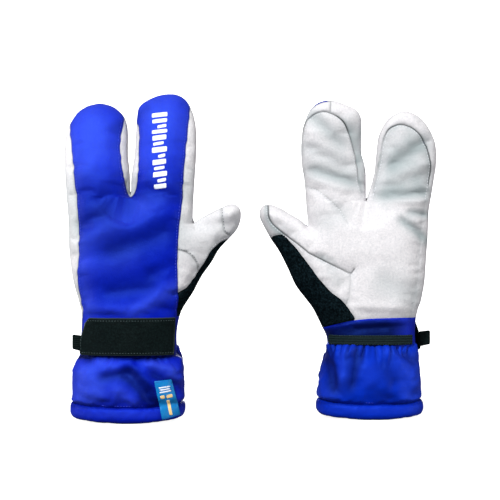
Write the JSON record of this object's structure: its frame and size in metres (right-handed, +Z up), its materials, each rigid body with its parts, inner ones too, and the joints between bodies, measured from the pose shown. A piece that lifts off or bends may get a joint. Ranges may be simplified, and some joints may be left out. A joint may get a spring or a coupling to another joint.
{
  "type": "padded split-finger gloves",
  "caption": "Matching padded gloves with split finger lobes, separate thumb, flared cuff, wrist strap and fleece lining, standing upright on their open hems.",
  "frame": {"origin": "midpoint of the pair on the plane that both hems stand on", "axes": "+Z up to the fingertips; +X across the pair, from the glove whose back faces -Y to the glove whose palm faces -Y; +Y away from the viewer"},
  "size_m": [0.3495, 0.0992, 0.3016],
  "materials": {
    "blue_softshell": "smooth softshell weave with a faint sheen",
    "blue_hem": "padded bound hem in the same softshell",
    "white_suede": "matt synthetic suede",
    "fleece_lining": "brushed fleece",
    "black_fleece": "brushed terry fleece",
    "black_webbing": "woven strap, matt",
    "loop_fastener": "hook and loop",
    "wrist_elastic": "ribbed elastic",
    "tag_ribbon": "woven satin ribbon"
  },
  "bodies": {
    "a_cuff": {"a_cuff_back_panel": "blue_softshell", "a_cuff_palm_panel": "blue_softshell", "a_cuff_hem_roll": "blue_hem", "a_cuff_liner": "fleece_lining", "a_wrist_elastic": "wrist_elastic", "a_strap_loop_patch": "loop_fastener"},
    "a_strap": {"a_strap_band": "black_webbing", "a_strap_hook_patch": "loop_fastener"},
    "a_pull_tab": {"a_strap_pull_tab": "black_webbing"},
    "a_tag": {"a_hem_tag": "tag_ribbon"},
    "a_hand": {"a_hand_back_panel": "blue_softshell", "a_hand_palm_panel": "white_suede", "a_hand_outer_gusset": "white_suede", "a_hand_thumb_gusset": "white_suede", "a_hand_fleece_gusset": "black_fleece", "a_hand_liner": "fleece_lining"},
    "a_index_lobe": {"a_index_back_panel": "blue_softshell", "a_index_palm_panel": "white_suede", "a_index_gusset": "white_suede", "a_index_liner": "fleece_lining"},
    "a_outer_lobe": {"a_outer_back_panel": "blue_softshell", "a_outer_palm_panel": "white_suede", "a_outer_gusset": "white_suede", "a_outer_liner": "fleece_lining"},
    "a_thumb": {"a_thumb_back_panel": "white_suede", "a_thumb_palm_panel": "white_suede", "a_thumb_tip_patch": "white_suede", "a_thumb_fleece_gusset": "black_fleece", "a_thumb_liner": "fleece_lining"},
    "b_cuff": {"b_cuff_back_panel": "blue_softshell", "b_cuff_palm_panel": "blue_softshell", "b_cuff_hem_roll": "blue_hem", "b_cuff_liner": "fleece_lining", "b_wrist_elastic": "wrist_elastic", "b_strap_loop_patch": "loop_fastener"},
    "b_strap": {"b_strap_band": "black_webbing", "b_strap_hook_patch": "loop_fastener"},
    "b_pull_tab": {"b_strap_pull_tab": "black_webbing"},
    "b_tag": {"b_hem_tag": "tag_ribbon"},
    "b_hand": {"b_hand_back_panel": "blue_softshell", "b_hand_palm_panel": "white_suede", "b_hand_outer_gusset": "white_suede", "b_hand_thumb_gusset": "white_suede", "b_hand_fleece_gusset": "black_fleece", "b_hand_liner": "fleece_lining"},
    "b_index_lobe": {"b_index_back_panel": "blue_softshell", "b_index_palm_panel": "white_suede", "b_index_gusset": "white_suede", "b_index_liner": "fleece_lining"},
    "b_outer_lobe": {"b_outer_back_panel": "blue_softshell", "b_outer_palm_panel": "white_suede", "b_outer_gusset": "white_suede", "b_outer_liner": "fleece_lining"},
    "b_thumb": {"b_thumb_back_panel": "white_suede", "b_thumb_palm_panel": "white_suede", "b_thumb_tip_patch": "white_suede", "b_thumb_fleece_gusset": "black_fleece", "b_thumb_liner": "fleece_lining"}
  },
  "joints": [
    {"name": "a_wrist_bend", "type": "hinge", "parent": "a_cuff", "child": "a_hand", "pos_m": [-0.11495, -0.013, 0.107], "axis": [1, 0, 0], "range_deg": [-25, 25], "stiffness_Nm_per_rad": 0.8},
    {"name": "a_index_lobe_bend", "type": "hinge", "parent": "a_hand", "child": "a_index_lobe", "pos_m": [-0.08395, -0.013, 0.212], "axis": [-1, 0, 0], "range_deg": [-10, 60], "stiffness_Nm_per_rad": 0.3},
    {"name": "a_outer_lobe_bend", "type": "hinge", "parent": "a_hand", "child": "a_outer_lobe", "pos_m": [-0.14395, -0.013, 0.212], "axis": [-1, 0, 0], "range_deg": [-10, 60], "stiffness_Nm_per_rad": 0.3},
    {"name": "a_thumb_bend", "type": "hinge", "parent": "a_hand", "child": "a_thumb", "pos_m": [-0.05295, -0.011, 0.155], "axis": [0, 0, 1], "range_deg": [-10, 45], "stiffness_Nm_per_rad": 0.15},
    {"name": "a_strap_open", "type": "hinge", "parent": "a_cuff", "child": "a_strap", "pos_m": [-0.07045, -0.0416, 0.0805], "axis": [0, 0, 1], "range_deg": [0, 150], "stiffness_Nm_per_rad": 0.05},
    {"name": "a_pull_tab_lift", "type": "hinge", "parent": "a_strap", "child": "a_pull_tab", "pos_m": [-0.15875, -0.0412, 0.075], "axis": [0, 0, 1], "range_deg": [0, 45], "stiffness_Nm_per_rad": 0.01},
    {"name": "a_tag_flip", "type": "hinge", "parent": "a_cuff", "child": "a_tag", "pos_m": [-0.08111, -0.04481, 0.00391], "axis": [0.9403, 0.2696, 0.2079], "range_deg": [0, 80], "stiffness_Nm_per_rad": 0.02},
    {"name": "b_wrist_bend", "type": "hinge", "parent": "b_cuff", "child": "b_hand", "pos_m": [0.11005, 0.013, 0.107], "axis": [-1, 0, 0], "range_deg": [-25, 25], "stiffness_Nm_per_rad": 0.8},
    {"name": "b_index_lobe_bend", "type": "hinge", "parent": "b_hand", "child": "b_index_lobe", "pos_m": [0.07905, 0.013, 0.212], "axis": [1, 0, 0], "range_deg": [-10, 60], "stiffness_Nm_per_rad": 0.3},
    {"name": "b_outer_lobe_bend", "type": "hinge", "parent": "b_hand", "child": "b_outer_lobe", "pos_m": [0.13905, 0.013, 0.212], "axis": [1, 0, 0], "range_deg": [-10, 60], "stiffness_Nm_per_rad": 0.3},
    {"name": "b_thumb_bend", "type": "hinge", "parent": "b_hand", "child": "b_thumb", "pos_m": [0.04805, 0.011, 0.155], "axis": [0, 0, 1], "range_deg": [-10, 45], "stiffness_Nm_per_rad": 0.15},
    {"name": "b_strap_open", "type": "hinge", "parent": "b_cuff", "child": "b_strap", "pos_m": [0.06555, 0.0416, 0.0805], "axis": [0, 0, 1], "range_deg": [0, 150], "stiffness_Nm_per_rad": 0.05},
    {"name": "b_pull_tab_lift", "type": "hinge", "parent": "b_strap", "child": "b_pull_tab", "pos_m": [0.15385, 0.0412, 0.075], "axis": [0, 0, 1], "range_deg": [0, 45], "stiffness_Nm_per_rad": 0.01},
    {"name": "b_tag_flip", "type": "hinge", "parent": "b_cuff", "child": "b_tag", "pos_m": [0.07621, 0.04481, 0.00391], "axis": [-0.9403, -0.2696, 0.2079], "range_deg": [0, 80], "stiffness_Nm_per_rad": 0.02},
    {"name": "b_glove_shift", "type": "slide", "parent": "a_cuff", "child": "b_cuff", "axis": [1, 0, 0], "range_m": [0, 0.05]}
  ]
}
